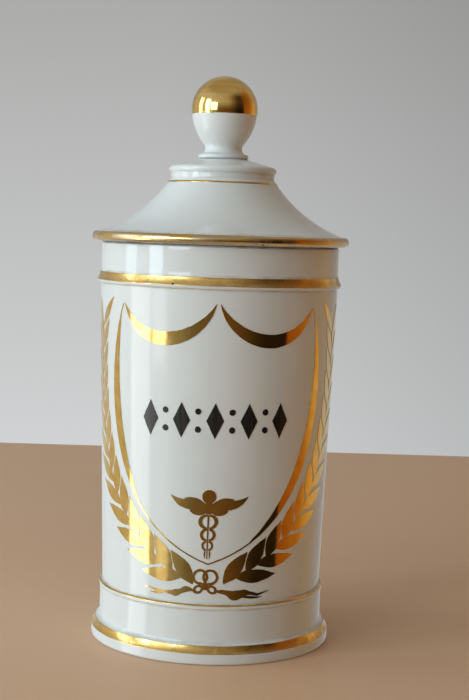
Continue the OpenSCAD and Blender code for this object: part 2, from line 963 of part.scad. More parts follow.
jar_body();
foot_gilt_band();
base_gilt_line();
shoulder_gilt_band();
shield_sides();
shield_swags();
wreath_left();
wreath_right();
ribbon_bow();
ribbon_tails();
caduceus_wings();
caduceus_staff();
caduceus_serpents();
label_frieze();
lid_shell();
lid_rim_gilt_band();
collar_gilt_line();
lid_knob();
knob_gilt_cap();
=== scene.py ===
import math

import bpy
from mathutils import Matrix, Vector, noise


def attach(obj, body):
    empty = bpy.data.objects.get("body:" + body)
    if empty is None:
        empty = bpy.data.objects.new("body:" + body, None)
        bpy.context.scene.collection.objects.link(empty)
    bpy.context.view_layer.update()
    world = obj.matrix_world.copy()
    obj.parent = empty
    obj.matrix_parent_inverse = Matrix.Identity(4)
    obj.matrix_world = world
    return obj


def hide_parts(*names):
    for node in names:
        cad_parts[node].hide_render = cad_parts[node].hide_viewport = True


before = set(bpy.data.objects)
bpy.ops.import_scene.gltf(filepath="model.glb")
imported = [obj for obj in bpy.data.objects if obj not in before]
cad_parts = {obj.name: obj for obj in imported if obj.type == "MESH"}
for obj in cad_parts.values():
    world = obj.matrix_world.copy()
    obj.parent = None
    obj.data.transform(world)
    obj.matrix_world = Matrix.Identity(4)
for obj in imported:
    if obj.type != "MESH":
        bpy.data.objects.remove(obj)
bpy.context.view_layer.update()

mm = 0.001

# The camera stands where the photograph was taken from: its lens and sensor, its place and its three turns
camera_lens = 76.56
camera_sensor = 36.0
camera_place = (0.0, -0.6633, 0.1846)
camera_down = math.radians(4.83)
camera_right = math.radians(0.66)
camera_roll = math.radians(1.81)

# Sizes of the jar, in millimetres
foot_r = 53.2
foot_edge_z = 4.6
foot_top = (51.3, 8.0)
foot_round = 1.2
foot_ring_r = 45.0
ring_round = 0.6
hollow_z = 3.0
hollow_mid_r = 24.0
hollow_round = 0.8
drum_r = 49.7
drum_round = 1.6
drum_top_z = 22.6
bead = (48.9, 23.8)
bead_r = 1.3
wall_low = (48.8, 25.1)
wall_high = (52.6, 157.4)
wall_flare = (wall_high[0] - wall_low[0]) / (wall_high[1] - wall_low[1])
shoulder = (54.0, 158.8)
neck_low = (52.6, 162.6)
mouth_z = 175.8
mouth_r = 47.6
lip_round = 1.2
lip_in_round = 1.0
floor_r = 43.8
floor_z = 9.0
floor_mid_r = 18.0
floor_round = 6.0

# Sizes of the lid and its knob, in millimetres
rim = (54.6, 177.9)
rim_r = 2.1
slope_mid = (74.373, 238.763)
slope_r = 62.0
lid_wall = 4.5
waist_r = 22.9
collar = (22.1, 208.1)
collar_r = 1.7
collar_top = (22.56, 209.7)
flange_r = 46.5
flange_in_r = 43.1
flange_z = 164.8
flange_round = 0.8
lid_hollow_z = 203.7
lid_hollow_mid_r = 9.0
seat = (11.2, 212.959)
ball_r = 14.45
ball_z = 234.759
cup_r = 24.0
cup_mid = (-9.55, 234.759)
neck_hollow = (10.8, 217.649)
neck_hollow_r = 2.6
knob_foot_edge = (10.155, 214.004)
knob_foot_edge_r = 1.045
knob_gilt_z = 232.259

# Turned pieces: faces round the axis, the angle above which an edge stays sharp, and how close points merge
turn_steps = 192
porcelain_crease = 24
film_crease = 40
seam = 0.002 * mm
drawn_seam = 0.005 * mm

# The fired films, in millimetres: their two faces above the glaze, and the middle of those drawn as solids
film_in = 0.03
film_out = 0.18
film_mid = (film_in + film_out) / 2
drawn_mid = 0.235
# How much lower a stroke lies than one that runs over it
film_step = 0.015
# How far the slopes under the foot's and shoulder's gilding are hollowed by the turner's tool
slope_dip = 0.2
# The drawn edge of a band: distances from the edge and heights above the glaze, and what is kept clear for it
soft_edge = [(0.0, film_in), (0.0, 0.09), (0.08, 0.15), (0.2, film_out)]
soft_edge_reach = 0.25
strip_steps = 12
# How many degrees shorter the outer face is than the inner one, on the rim and at the edge of the knob's cap
rim_slant = 2
cap_slant = 0.3

# Where bands and lines end: degrees round the rim, heights on the collar, half the width of the line on the
# bead and the slant of the bead there
rim_gilt = (-50, 68)
collar_line_z = (202.1, 202.9)
bead_line_half = 0.55
bead_slant = 0.7071

# The waver of a band's edges: its even share, then a slow and a quick one: how often for each millimetre,
# share and seed step
even_share = 0.55
slow_waver = (0.11, 0.6, 7.3)
quick_waver = (0.6, 0.3, 3.1)
# The waver of painted strokes: how far they stray in millimetres, how often for each millimetre, and seeds
waver = 0.16
drawn_often = 0.4
drawn_seed_step = 20
strip_often = 0.5
strip_seeds = (3.0, 9.0)

# The laurel branches on the wall rolled out flat, in millimetres: the feet of the left and right one, where
# they end and how far they bow out, then length, splay in degrees and width of their leaves
branch_feet = {-1: (7.2, 33.9), 1: (5.2, 34.4)}
branch_top = (65.77, 138.7)
branch_bow = 20.0
branch_steps = 12
inner_leaf = (17.0, 29.0, 5.4)
outer_leaf = (19.2, -24.0, 5.0)
top_leaf = (18.5, 34.0, 4.8)
leaf_gap = 0.4
# A leaf's width at the branch's foot and its loss up to the top, as shares, and two powers of its outline
foot_leaf_share = 1.18
top_leaf_loss = 0.32
leaf_belly = 0.85
leaf_point = 1.1
# How finely a leaf is drawn along and to each side, its least width that is seen, and how many may hide it
leaf_steps = 40
side_steps = 32
least_leaf = 0.1
leaves_below = 4
stem_width = 1.3
stem_taper = 0.5
stem_steps = 60
# The arc of the shield's side, on the plane that it is drawn on: how many degrees that plane faces aside,
# then middle and radius
side_turn = 40.0
side_mid = Vector((-67.386, 117.471))
side_r = 83.41
# The ribbon's tails on the left and right: distance from the middle of its bow, height and width along each
# stroke, then how finely a stroke is drawn and its least width
bow_mid = -2.22
ribbon_strokes = {
    -1: [
        [(4.9, 30.9, 0.9), (6.4, 31.2, 1.7), (8.3, 31.1, 2.5), (10.4, 30.1, 2.1), (12.6, 29.3, 3.0),
         (14.8, 29.2, 1.9), (17.2, 29.3, 1.1), (20.0, 29.1, 1.6), (22.4, 29.7, 0.8), (25.0, 30.4, 0.5),
         (27.0, 30.1, 0.2)],
        [(19.0, 29.0, 0.8), (21.6, 28.3, 0.9), (24.4, 28.5, 0.2)],
    ],
    1: [
        [(4.9, 30.8, 0.9), (6.6, 30.6, 1.7), (9.4, 30.1, 2.4), (12.0, 29.0, 4.2), (14.4, 29.3, 3.8),
         (17.2, 30.0, 2.6), (19.8, 29.6, 1.5), (22.6, 29.0, 1.1), (25.6, 29.7, 0.6), (28.0, 30.3, 0.2)],
        [(15.8, 28.4, 0.9), (19.0, 27.9, 1.1), (22.0, 27.8, 0.9), (24.8, 28.0, 0.2)],
    ],
}
stroke_steps = 6
least_stroke = 0.05
# The shield and the staff lean to the left at the foot: shift for each millimetre, and heights without shift
lean = 0.0125
shield_upright = 145.0
staff_upright = 80.0

# Colours of glaze, dirt and painted shade, gilding and enamel, and how softly shaded dirt lines and the bare
# body end
glaze_clear = (0.785, 0.815, 0.81)
glaze_thick = (0.745, 0.785, 0.79)
glaze_iron = (0.10, 0.075, 0.05)
# Dirt together with painted shade, darkening the creases and grooves
crease_dirt_and_shade = (0.36, 0.29, 0.20)
# Grime together with a painted shadow, along the seats where the lid and the knob rest
seat_grime_and_shade = (0.07, 0.055, 0.04)
bare_body = (0.62, 0.56, 0.46)
line_soft = 0.35 * mm
bare_soft = 0.15 * mm
gold_deep = (0.74, 0.46, 0.12)
gold_pale = (0.84, 0.60, 0.24)
gold_thin = (0.52, 0.31, 0.10)
gold_bare = (0.58, 0.45, 0.30)
gold_tarnish = (0.07, 0.04, 0.02)
enamel_full = (0.010, 0.009, 0.008)
enamel_thin = (0.026, 0.022, 0.018)
enamel_dry = (0.16, 0.14, 0.12)

# The stage, in metres: a round table, cut off before the wall and just clear of the foot, and its colour
table_r = 1.36
table_back = 0.55
table_drop = 0.1 * mm
table_colour = (0.73, 0.475, 0.30)
table_cloud = 0.04
table_grain = 9.0
# The wall: its place and size, its own colour, the painted light it glows with low and high, the heights
# between which that changes, and its painted shade to the right: where it starts, where it ends and the share
# of light left
wall_place = (0, 0.9, 0.2)
wall_size = (5.0, 3.0)
wall_colour = (0.66, 0.67, 0.67)
wall_low_painted_light = (0.63, 0.645, 0.65)
wall_high_painted_light = (0.405, 0.405, 0.395)
wall_heights = (-0.05, 0.42)
wall_painted_shade = (-0.06, 0.26, 0.79)
# The lamps: how far off they stand, where they look, and their colours
lamp_far = 1.25
lamp_aim = Vector((0, 0, 0.12))
window_light = (0.715, 0.895, 1.0)
front_light = (0.77, 0.92, 1.0)
# The screen round the table: its size, and the heights between which its walls, upper part and ceiling change
screen_r = 1.4
screen_tall = 3.0
screen_mid = 0.8
upper_heights = (0.25, 0.75)
ceiling_heights = (1.3, 2.2)
# The screen's colours, by the angle from the front in degrees, its strength, and the light from above
room_walls = [
    (-150, (0.62, 0.56, 0.44)),
    (-104, (0.60, 0.56, 0.46)),
    (-78, (0.62, 0.66, 0.66)),
    (-60, (0.60, 0.62, 0.58)),
    (-42, (0.36, 0.36, 0.32)),
    (-24, (0.17, 0.15, 0.11)),
    (-4, (0.15, 0.09, 0.04)),
    (18, (0.12, 0.07, 0.03)),
    (34, (0.05, 0.03, 0.015)),
    (44, (0.02, 0.014, 0.010)),
    (68, (0.018, 0.012, 0.008)),
    (70, (0.30, 0.095, 0.012)),
    (98, (0.42, 0.18, 0.035)),
    (112, (0.62, 0.40, 0.14)),
    (128, (0.60, 0.46, 0.30)),
]
room_upper = [
    (-150, (0.55, 0.55, 0.53)),
    (-60, (0.58, 0.60, 0.60)),
    (-15, (0.50, 0.49, 0.46)),
    (12, (0.42, 0.40, 0.36)),
    (30, (0.22, 0.165, 0.10)),
    (46, (0.06, 0.045, 0.03)),
    (64, (0.06, 0.04, 0.025)),
    (70, (0.17, 0.07, 0.015)),
    (100, (0.30, 0.14, 0.035)),
    (128, (0.48, 0.34, 0.20)),
]
room_back = (0.46, 0.42, 0.36)
room_glow = 1.0
room_top = (0.385, 0.345, 0.285)
# Lit sills under the windows: angles where they start and end, how low and high they reach, and their share
# of the light, then the light itself and how softly it ends aside and upwards
sills = [(-89, -69, -0.8, 0.1, 1.0), (-55, -47, -0.8, -0.1, 0.16), (-62, -52, -0.06, 0.1, 0.8)]
sill_light = (3.2, 3.25, 3.2)
sill_soft = (math.radians(4), 0.03)


def arc(middle, radius, start, end, steps):
    """Points along a round of a section, from one angle to another, in degrees"""
    points = []
    for i in range(steps + 1):
        turn = math.radians(start + (end - start) * i / steps)
        points.append((middle[0] + radius * math.cos(turn), middle[1] + radius * math.sin(turn)))
    return points


def run(start, end, steps):
    """Points along a straight stretch of a section, without its two ends"""
    shares = [i / steps for i in range(1, steps)]
    return [(start[0] + (end[0] - start[0]) * s, start[1] + (end[1] - start[1]) * s) for s in shares]


def hollowed(start, end, steps):
    """Points along a stretch of a section that dips a little between its two ends, without them"""
    reach = Vector(end) - Vector(start)
    inward = Vector((-reach.y, reach.x)).normalized()
    shares = [i / steps for i in range(1, steps)]
    return [tuple(Vector(start) + reach * s + inward * 4 * slope_dip * s * (1 - s)) for s in shares]


def edit(piece):
    """Opens a piece for editing, with all of it selected"""
    bpy.ops.object.select_all(action="DESELECT")
    piece.select_set(True)
    bpy.context.view_layer.objects.active = piece
    bpy.ops.object.mode_set(mode="EDIT")
    bpy.ops.mesh.select_all(action="SELECT")


def close_up(piece, crease):
    """Merges the seams, turns all faces outwards and shades the rounds smooth"""
    bpy.ops.mesh.select_all(action="SELECT")
    bpy.ops.mesh.remove_doubles(threshold=seam)
    bpy.ops.mesh.normals_make_consistent(inside=False)
    bpy.ops.object.mode_set(mode="OBJECT")
    bpy.ops.object.shade_smooth_by_angle(angle=math.radians(crease))
    return piece


def throw(name, section, crease=porcelain_crease):
    """Turns a section, drawn point by point, round the jar's axis"""
    bpy.ops.object.select_all(action="DESELECT")
    bpy.ops.mesh.primitive_plane_add(size=mm)
    piece = bpy.context.object
    piece.name = name
    piece.data.name = name
    bpy.ops.object.mode_set(mode="EDIT")
    bpy.ops.mesh.select_all(action="SELECT")
    bpy.ops.mesh.merge(type="CENTER")
    at = Vector((0, 0, 0))
    for i, (out, up) in enumerate(section):
        to = Vector((out * mm, 0, up * mm))
        if i == 0:
            bpy.ops.transform.translate(value=to - at)
        else:
            bpy.ops.mesh.extrude_region_move(TRANSFORM_OT_translate={"value": to - at})
        at = to
    bpy.ops.mesh.select_all(action="SELECT")
    bpy.ops.mesh.spin(steps=turn_steps, angle=math.tau, center=(0, 0, 0), axis=(0, 0, 1))
    return close_up(piece, crease)


def jar_section():
    """The jar, from the middle of its hollow underside round the outside to the middle of its floor"""
    points = [(0, hollow_z), (hollow_mid_r, hollow_z), (foot_ring_r - hollow_round, hollow_z)]
    points += arc((foot_ring_r - hollow_round, hollow_z - hollow_round), hollow_round, 90, 0, 5)
    points += arc((foot_ring_r + ring_round, ring_round), ring_round, 180, 270, 5)
    points += arc((foot_r - foot_round, foot_round), foot_round, 270, 360, 8)
    points += [(foot_r, foot_edge_z)]
    points += hollowed((foot_r, foot_edge_z), foot_top, 8)
    points += [foot_top]
    points += arc((foot_top[0], foot_top[1] + drum_round), drum_round, 270, 180, 8)[1:]
    points += run((drum_r, foot_top[1] + drum_round), (drum_r, drum_top_z), 4)
    points += arc(bead, bead_r, -52, 94, 16)
    points += run(wall_low, wall_high, 30)
    points += arc((wall_high[0], shoulder[1]), shoulder[0] - wall_high[0], 270, 360, 8)
    points += hollowed(shoulder, neck_low, 8)
    points += [neck_low]
    points += run(neck_low, (neck_low[0], mouth_z - lip_round), 4)
    points += arc((neck_low[0] - lip_round, mouth_z - lip_round), lip_round, 0, 90, 8)
    points += arc((mouth_r + lip_in_round, mouth_z - lip_in_round), lip_in_round, 90, 180, 8)
    points += run((mouth_r, mouth_z - lip_round), (floor_r, floor_z + floor_round), 12)
    points += arc((floor_r - floor_round, floor_z + floor_round), floor_round, 0, -90, 12)
    points += [(floor_mid_r, floor_z), (0, floor_z)]
    return points


def slope_turn(radius, out):
    """Angle at which the curve of the lid's slope reaches a distance from the axis"""
    return 360 - math.degrees(math.acos((out - slope_mid[0]) / radius))


def lid_section():
    """The lid, from the middle of its hollow underside round the rim to the middle of the knob's seat"""
    inner_r = slope_r + lid_wall
    top = 180 + math.degrees(math.asin((slope_mid[1] - lid_hollow_z) / inner_r))
    points = [(0, lid_hollow_z), (lid_hollow_mid_r, lid_hollow_z)]
    points += arc(slope_mid, inner_r, top, slope_turn(inner_r, flange_in_r), 14)
    points += arc((flange_in_r + flange_round, flange_z + flange_round), flange_round, 180, 270, 5)
    points += arc((flange_r - flange_round, flange_z + flange_round), flange_round, 270, 360, 5)
    points += [(flange_r, mouth_z)]
    points += arc(rim, rim_r, 270, 450, 18)
    points += arc(slope_mid, slope_r, slope_turn(slope_r, rim[0]), slope_turn(slope_r, waist_r), 24)[1:]
    points += arc(collar, collar_r, -61.5, 74, 14)
    points += run(collar_top, seat, 4)
    points += [seat, (0, seat[1])]
    return points


def knob_section():
    """The knob, from the middle of its foot to its pole"""
    points = [(0, seat[1])]
    points += arc(knob_foot_edge, knob_foot_edge_r, 270, 410, 12)
    points += arc(neck_hollow, neck_hollow_r, 266, 139.9, 14)
    points += arc(cup_mid, cup_r, -39, -2, 16)
    points += arc((0, ball_z), ball_r, 0, 90, 20)
    return points


def strip_section(low, high, dip=0.0):
    """Film on a straight slope, or one that dips, with its two edges drawn soft"""
    along = (Vector(high) - Vector(low)).normalized()
    out = Vector((along.y, -along.x))
    reach = (Vector(high) - Vector(low)).length
    inner = [reach * i / strip_steps for i in range(1, strip_steps)]
    inner = [a for a in inner if soft_edge_reach < a < reach - soft_edge_reach]
    rows = soft_edge + [(a, film_out) for a in inner]
    rows += [(reach - a, b) for a, b in reversed(soft_edge)]
    rows += [(a, film_in) for a in reversed(inner)]
    rows += soft_edge[:1]
    points = []
    for a, b in rows:
        points.append(tuple(Vector(low) + along * a + out * (b - 4 * dip * a * (reach - a) / reach ** 2)))
    return points


def edge_section(middle, radius, start, end):
    """Film on a round edge"""
    points = arc(middle, radius + film_in, end, start, 20)
    points += arc(middle, radius + film_out, start + rim_slant, end - rim_slant, 20)
    return points + points[:1]


def cap_section():
    """Film on the knob, from its pole down to its edge and back"""
    low = math.degrees(math.asin((knob_gilt_z - cup_mid[1]) / cup_r))
    points = arc((0, ball_z), ball_r + film_in, 90, 0, 20)
    points += arc(cup_mid, cup_r + film_in, low / 3, low, 3)
    points += arc(cup_mid, cup_r + film_out, low + cap_slant, low / 3, 4)
    points += arc((0, ball_z), ball_r + film_out, 0, 90, 20)
    return points


def by_hand(piece, edges, give, seed):
    """Lets the drawn edges of a band waver: each edge is a point of the section and the way into the band"""
    for vertex in piece.data.vertices:
        x, y, z = vertex.co / mm
        out = math.hypot(x, y)
        for number, (edge, way) in enumerate(edges):
            near = 1 - math.hypot(out - edge[0], z - edge[1]) / (4 * give)
            if near <= 0:
                continue
            share = even_share
            for often, part, seed_step in (slow_waver, quick_waver):
                share += part * noise.noise(Vector((x * often, y * often, seed + seed_step * number)))
            step = give * near * share
            out_new = out + way[0] * step
            vertex.co = Vector((x * out_new / out, y * out_new / out, z + way[1] * step)) * mm


def wall_out(height):
    """Distance of the wall from the axis at a height, in millimetres"""
    return wall_low[0] + (height - wall_low[1]) * wall_flare


def lie_round(piece):
    """Shades the painted face as round as the wall under it"""
    mesh = piece.data
    painted = []
    for vertex in mesh.vertices:
        x, y, z = vertex.co / mm
        painted.append(math.hypot(x, y) - wall_out(z) > film_mid)
    normals = [Vector((0, 0, 1))] * len(mesh.loops)
    for face in mesh.polygons:
        front = all(painted[corner] for corner in face.vertices)
        for loop in face.loop_indices:
            normals[loop] = face.normal.copy()
            if front:
                at = mesh.vertices[mesh.loops[loop].vertex_index].co
                normals[loop] = Vector((at.x, at.y, -wall_flare * math.hypot(at.x, at.y))).normalized()
    mesh.normals_split_custom_set(normals)


def paint(name, node, seed, upright=None):
    """Brushed film: the drawn film with a hand's waver, laid close round the wall"""
    piece = bpy.data.objects.new(name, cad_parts[node].data.copy())
    piece.data.name = name
    bpy.context.collection.objects.link(piece)
    edit(piece)
    bpy.ops.mesh.remove_doubles(threshold=drawn_seam)
    bpy.ops.object.mode_set(mode="OBJECT")
    for vertex in piece.data.vertices:
        x, y, z = vertex.co / mm
        out = math.hypot(x, y)
        film = film_out if out - wall_out(z) > drawn_mid else film_in
        aside = waver * noise.noise(Vector((x * drawn_often, z * drawn_often, seed)))
        if upright:
            aside += lean * (z - upright)
        z += waver * noise.noise(Vector((x * drawn_often, z * drawn_often, seed + drawn_seed_step)))
        turn = math.atan2(x, -y) + aside / out
        out = wall_out(z) + film
        vertex.co = Vector((out * math.sin(turn), -out * math.cos(turn), z)) * mm
    edit(piece)
    close_up(piece, film_crease)
    lie_round(piece)
    return piece


def branch_at(side, share):
    """Point of a laurel branch on the wall rolled out flat, and its direction there"""
    foot = Vector(branch_feet[side])
    chord = Vector(branch_top) - foot
    radius = (chord.length_squared / 4 + branch_bow ** 2) / (2 * branch_bow)
    way = math.atan2(chord.y, chord.x) + math.asin(chord.length / 2 / radius) * (2 * share - 1)
    aside = Vector((-chord.y, chord.x)).normalized()
    middle = foot + chord / 2 + aside * (radius - branch_bow)
    return middle + radius * Vector((math.sin(way), -math.cos(way))), way


def grow(side, step, leaf):
    """Leaf at a step of a branch: its root, direction, length and width, which shrinks towards the top"""
    share = step / branch_steps
    root, way = branch_at(side, share)
    length, splay, width = leaf
    return root, way + math.radians(splay), length, width * (foot_leaf_share - top_leaf_loss * share)


def half_width(share, width):
    """Half of a leaf's width at a share of its length: pointed, and widest below its middle"""
    return width / 2 * math.sin(math.pi * min(max(share, 0), 1) ** leaf_belly) ** leaf_point


def covers(leaf, point, gap):
    """Whether a leaf lies over a point, with a gap round the leaf"""
    root, way, length, width = leaf
    off = point - root
    along = off.x * math.cos(way) + off.y * math.sin(way)
    across = off.y * math.cos(way) - off.x * math.sin(way)
    return -gap < along < length + gap and abs(across) < half_width(along / length, width) + gap


def in_shield(side, point):
    """Whether a point of the rolled-out wall lies within the shield's side or close to its stroke"""
    out = wall_out(point.y)
    turn = (point.x - side * lean * (point.y - shield_upright)) / out - math.radians(side_turn)
    drawn = Vector((out * math.sin(turn), point.y))
    return (drawn - side_mid).length < side_r + leaf_gap


def leaf_rows(side, leaf, below):
    """Edges of what is seen of a leaf, from its tip down to where the leaves below it hide it"""
    root, way, length, width = leaf
    ahead = Vector((math.cos(way), math.sin(way)))
    aside = Vector((-ahead.y, ahead.x))
    rows = []
    for i in range(leaf_steps):
        share = 1 - i / leaf_steps
        spine = root + ahead * length * share
        half = half_width(share, width)
        best, start = (0, 0), None
        for j in range(-side_steps, side_steps + 2):
            point = spine + aside * half * j / side_steps
            hidden = j > side_steps or in_shield(side, point)
            hidden = hidden or any(covers(other, point, leaf_gap) for other in below)
            if not hidden and start is None:
                start = j
            if hidden and start is not None:
                best = max(best, (j - 1 - start, start))
                start = None
        if best[0] * half / side_steps < least_leaf:
            if len(rows) > 2:
                break
            rows = [(spine, spine)] if i == 0 else []
            continue
        ends = (best[1], best[0] + best[1])
        rows.append(tuple(spine + aside * half * j / side_steps for j in ends))
    return rows


def lay_strip(rows, side, out):
    """Strip of film on the wall between two rows of edge points of the rolled-out wall"""
    bpy.ops.object.select_all(action="DESELECT")
    bpy.ops.mesh.primitive_grid_add(x_subdivisions=len(rows) - 1, y_subdivisions=4, size=1)
    strip = bpy.context.object
    for vertex in strip.data.vertices:
        first, last = rows[round((vertex.co.x + 0.5) * (len(rows) - 1))]
        flat = first.lerp(last, 0.5 - side * vertex.co.y)
        stray = [noise.noise(Vector((*flat, seed)) * strip_often) for seed in strip_seeds]
        flat += waver * Vector(stray)
        turn = side * flat.x / wall_out(flat.y)
        reach = wall_out(flat.y) + out
        vertex.co = Vector((reach * math.sin(turn), -reach * math.cos(turn), flat.y)) * mm
    return strip


def join_film(name, strips):
    """One painted film out of strips that overlap"""
    bpy.ops.object.select_all(action="DESELECT")
    for strip in strips:
        strip.select_set(True)
    bpy.context.view_layer.objects.active = strips[0]
    bpy.ops.object.join()
    film = bpy.context.object
    film.name = name
    film.data.name = name
    layer = film.modifiers.new("film", "SOLIDIFY")
    layer.thickness = (film_out - film_in - 2 * film_step) * mm
    layer.offset = -1
    bpy.ops.object.modifier_apply(modifier="film")
    edit(film)
    close_up(film, film_crease)
    lie_round(film)
    return film


def laurel(name, side):
    """Laurel branch: a stem with pointed leaves on either side in turn, each behind those below it"""
    stem = []
    for i in range(stem_steps, -1, -1):
        at, way = branch_at(side, i / stem_steps)
        half = Vector((-math.sin(way), math.cos(way))) * stem_width * (1 - stem_taper * i / stem_steps) / 2
        stem.append((at - half, at + half))
    strips = [lay_strip(stem, side, film_out - 2 * film_step)]
    leaves = []
    for k in range(branch_steps):
        leaves.append(grow(side, k, inner_leaf))
        leaves.append(grow(side, k + 0.5, outer_leaf))
    leaves.append(grow(side, branch_steps, top_leaf))
    for k, leaf in enumerate(leaves):
        rows = leaf_rows(side, leaf, leaves[max(0, k - leaves_below):k])
        if len(rows) > 3:
            strips.append(lay_strip(rows, side, film_out - film_step))
    return join_film(name, strips)


def smooth(points):
    """Path that bends evenly through points"""
    ends = [2 * points[0] - points[1], *points, 2 * points[-1] - points[-2]]
    path = []
    for k in range(1, len(ends) - 2):
        a, b, c, d = ends[k - 1:k + 3]
        for i in range(stroke_steps):
            t = i / stroke_steps
            bend = 2 * a - 5 * b + 4 * c - d + t * (3 * b - 3 * c + d - a)
            path.append(b + 0.5 * t * (c - a + t * bend))
    path.append(points[-1])
    return path


def stroke_rows(path):
    """Edges of a stroke along a path, whose third value is the stroke's width"""
    rows = []
    for k, at in enumerate(path):
        ahead = (path[min(k + 1, len(path) - 1)] - path[max(k - 1, 0)]).xy.normalized()
        half = Vector((-ahead.y, ahead.x)) * max(at.z, least_stroke) / 2
        rows.append((at.xy - half, at.xy + half))
    return rows


def ribbon(name):
    """Tails of the ribbon: wavering strokes that run out in points"""
    strips = []
    for side, strokes in ribbon_strokes.items():
        for number, stroke in enumerate(strokes):
            points = [Vector((out + side * bow_mid, up, wide)) for out, up, wide in stroke]
            rows = stroke_rows(smooth(points))
            strips.append(lay_strip(rows[::-1], side, film_out - (number + 1) * film_step))
    return join_film(name, strips)


def add(tree, kind, place, **values):
    """Node of a kind, with values set on its sockets or joined to them"""
    node = tree.nodes.new(kind)
    node.location = place
    for name, value in values.items():
        socket = node.inputs[int(name[1:])] if name[0] == "i" and name[1:].isdigit() else node.inputs[name]
        if isinstance(value, bpy.types.NodeSocket):
            tree.links.new(value, socket)
        else:
            socket.default_value = value
    return node


def maths(tree, work, first, second, place, clamp=False):
    """Sum, product or other work on two values"""
    node = add(tree, "ShaderNodeMath", place, i0=first, i1=second)
    node.operation = work
    node.use_clamp = clamp
    return node.outputs[0]


def spread(tree, value, low, high, to_low, to_high, place):
    """Value brought from one range to another"""
    node = add(tree, "ShaderNodeMapRange", place, i0=value, i1=low, i2=high, i3=to_low, i4=to_high)
    return node.outputs[0]


def mix(tree, share, first, second, place):
    """Colour between two others"""
    node = tree.nodes.new("ShaderNodeMix")
    node.data_type = "RGBA"
    node.location = place
    for socket, value in ((node.inputs[0], share), (node.inputs[6], first), (node.inputs[7], second)):
        if isinstance(value, bpy.types.NodeSocket):
            tree.links.new(value, socket)
        elif hasattr(value, "__len__"):
            socket.default_value = (*value, 1)
        else:
            socket.default_value = value
    return node.outputs[2]


def cloud(tree, vector, place, **values):
    """Soft noise at a place of the piece"""
    return add(tree, "ShaderNodeTexNoise", place, Vector=vector, **values).outputs["Fac"]


def new_group(name, values):
    """Node group with a place to work at, the named values and one mask to put out"""
    tree = bpy.data.node_groups.new(name, "ShaderNodeTree")
    tree.interface.new_socket("Vector", in_out="INPUT", socket_type="NodeSocketVector")
    for value, start in values.items():
        socket = tree.interface.new_socket(value, in_out="INPUT", socket_type="NodeSocketFloat")
        socket.default_value = start
    tree.interface.new_socket("Mask", in_out="OUTPUT", socket_type="NodeSocketFloat")
    entry = tree.nodes.new("NodeGroupInput")
    entry.location = (-700, 0)
    leave = tree.nodes.new("NodeGroupOutput")
    leave.location = (700, 0)
    return tree, entry.outputs, leave.inputs["Mask"]


def speck_group():
    """Sparse round specks, as iron leaves them in a glaze and tarnish in gilding"""
    tree, given, mask = new_group("specks", {"Scale": 200.0, "Size": 0.1, "Share": 0.05})
    cells = add(tree, "ShaderNodeTexVoronoi", (-450, 0), Vector=given["Vector"], Scale=given["Scale"])
    pick = add(tree, "ShaderNodeSeparateColor", (-250, -150), i0=cells.outputs["Color"])
    few = maths(tree, "LESS_THAN", pick.outputs[0], given["Share"], (-50, -150))
    reach = maths(tree, "MULTIPLY", given["Size"], pick.outputs[1], (-50, -320))
    rest = maths(tree, "SUBTRACT", reach, cells.outputs["Distance"], (130, 50))
    sharp = maths(tree, "MULTIPLY", rest, 30.0, (300, 50), clamp=True)
    tree.links.new(maths(tree, "MULTIPLY", sharp, few, (480, 0)), mask)
    return tree


def brush_group():
    """Streaks that a laden brush leaves round the jar"""
    tree, given, mask = new_group("brush streaks", {"Along": 30.0, "Across": 900.0})
    along = given["Along"]
    ways = add(tree, "ShaderNodeCombineXYZ", (-450, -150), X=along, Y=along, Z=given["Across"])
    drawn = add(tree, "ShaderNodeVectorMath", (-250, 0), i0=given["Vector"], i1=ways.outputs[0])
    drawn.operation = "MULTIPLY"
    hair = cloud(tree, drawn.outputs[0], (-50, 0), Scale=1.0, Detail=3.0, Roughness=0.6)
    tree.links.new(spread(tree, hair, 0.3, 0.7, 0.0, 1.0, (250, 0)), mask)
    return tree


def rub_group():
    """Patches rubbed by hands and cloths, with broken borders"""
    tree, given, mask = new_group("rubbed patches", {"Scale": 60.0, "Share": 0.3, "Border": 0.1})
    patch = cloud(tree, given["Vector"], (-450, 0), Scale=given["Scale"], Detail=6.0, Roughness=0.65)
    start = maths(tree, "SUBTRACT", 1.0, given["Share"], (-250, -200))
    end = maths(tree, "ADD", start, given["Border"], (-50, -200))
    tree.links.new(spread(tree, patch, start, end, 0.0, 1.0, (250, 0)), mask)
    return tree


def use(tree, group, vector, place, **values):
    """Mask of a node group, with its values set"""
    node = tree.nodes.new("ShaderNodeGroup")
    node.node_tree = group
    node.location = place
    tree.links.new(vector, node.inputs["Vector"])
    for name, value in values.items():
        node.inputs[name].default_value = value
    return node.outputs["Mask"]


def new_material(name):
    """Material with its nodes, its shader and the piece's own coordinates"""
    material = bpy.data.materials.new(name)
    material.use_nodes = True
    tree = material.node_tree
    shader = tree.nodes["Principled BSDF"]
    shader.location = (900, 0)
    tree.nodes["Material Output"].location = (1200, 0)
    place = add(tree, "ShaderNodeTexCoord", (-1400, 0)).outputs["Object"]
    return material, tree, shader, place


def apart(tree, place):
    """The three coordinates of a place by themselves"""
    return add(tree, "ShaderNodeSeparateXYZ", (-1200, -300), i0=place).outputs


def bump(tree, height, depth, place, under=None):
    """Normal that a height bends, on top of another normal where there is one"""
    node = add(tree, "ShaderNodeBump", place, Height=height, Strength=1.0, Distance=depth)
    if under is not None:
        tree.links.new(under, node.inputs["Normal"])
    return node.outputs[0]


def band(tree, height, low, high, soft, place):
    """Mask of what lies between two values, with soft borders outside them"""
    rise = spread(tree, height, low - soft, low, 0.0, 1.0, place)
    fall = spread(tree, height, high, high + soft, 1.0, 0.0, (place[0], place[1] - 250))
    return maths(tree, "MULTIPLY", rise, fall, (place[0] + 200, place[1]))


